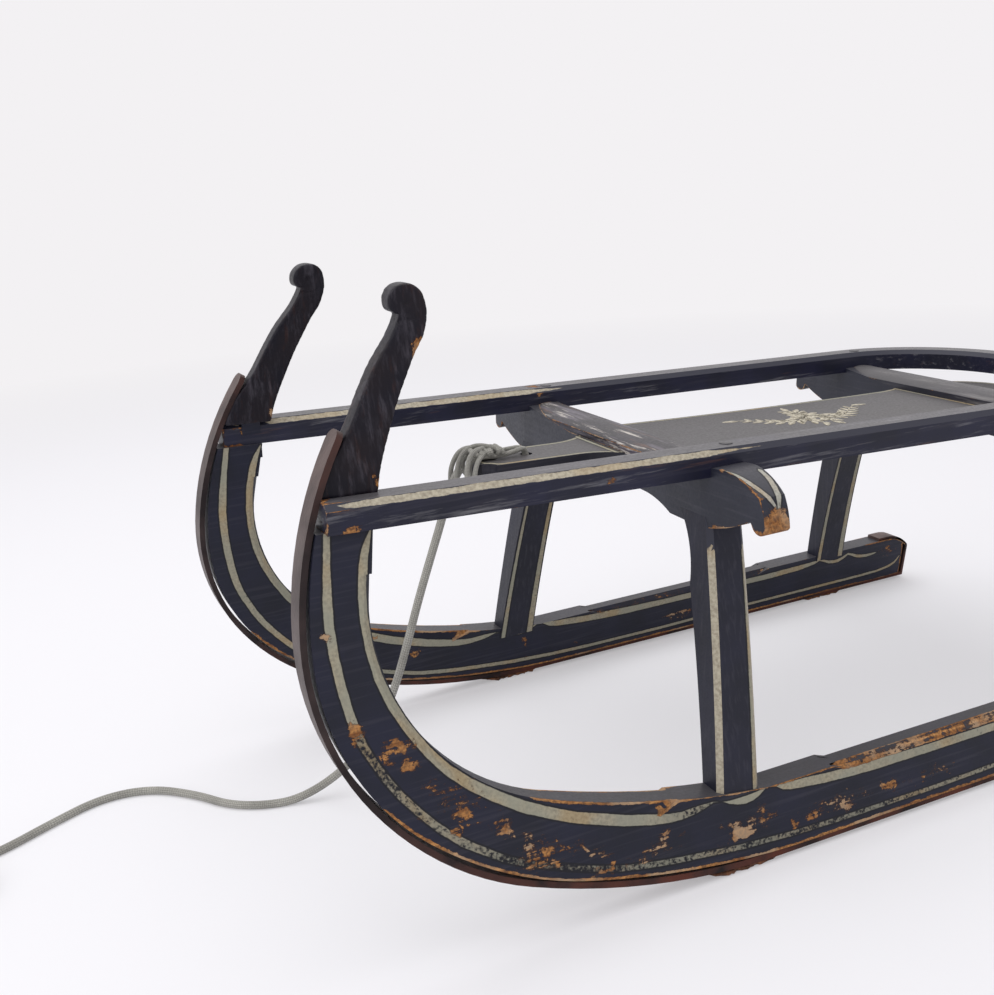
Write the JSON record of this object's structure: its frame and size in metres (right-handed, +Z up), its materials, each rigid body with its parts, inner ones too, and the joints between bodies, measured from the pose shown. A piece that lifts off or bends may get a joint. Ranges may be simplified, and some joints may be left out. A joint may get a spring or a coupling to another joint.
{
  "type": "child's sled",
  "caption": "Child's push and pull sled: leaning iron-shod runners with rolled hand horns, splayed legs, arched bolsters with scroll ends, bentwood seat rail, waisted plank and a tow cord.",
  "frame": {"origin": "on the floor, under the middle of the sled's length and width, the tow cord left out", "axes": "+X forward, the way the sled is drawn; +Y the sled's left; +Z up"},
  "size_m": [1.0011, 0.396, 0.3989],
  "materials": {
    "painted_wood": "navy oil paint over ash, worn and chipped, cream lining",
    "rail_wood": "navy oil paint over bent ash, rubbed and scratched on top",
    "seat_wood": "navy oil paint, dulled, cream lining and sprig",
    "horn_wood": "near-black paint, hand-polished, worn to the wood in places",
    "shoe_iron": "wrought strap, dark brown patina, rusty below",
    "rusted_iron": "rusted plate remains",
    "cord": "grey weathered braided cord"
  },
  "bodies": {
    "root": {"runner_left": "painted_wood", "horn_left": "horn_wood", "iron_shoe_left": "shoe_iron", "runner_right": "painted_wood", "horn_right": "horn_wood", "iron_shoe_right": "shoe_iron", "seat_rail": "rail_wood", "bolster_front": "painted_wood", "crossbar_front": "rail_wood", "leg_front_left": "painted_wood", "sole_pad_front_left": "rusted_iron", "leg_front_right": "painted_wood", "sole_pad_front_right": "rusted_iron", "bolster_rear": "painted_wood", "crossbar_rear": "rail_wood", "leg_rear_left": "painted_wood", "sole_pad_rear_left": "rusted_iron", "leg_rear_right": "painted_wood", "sole_pad_rear_right": "rusted_iron", "seat_plank": "seat_wood", "tow_cord": "cord", "cord_knot": "cord", "cord_coil": "cord", "cord_end_knot": "cord"}
  },
  "joints": []
}
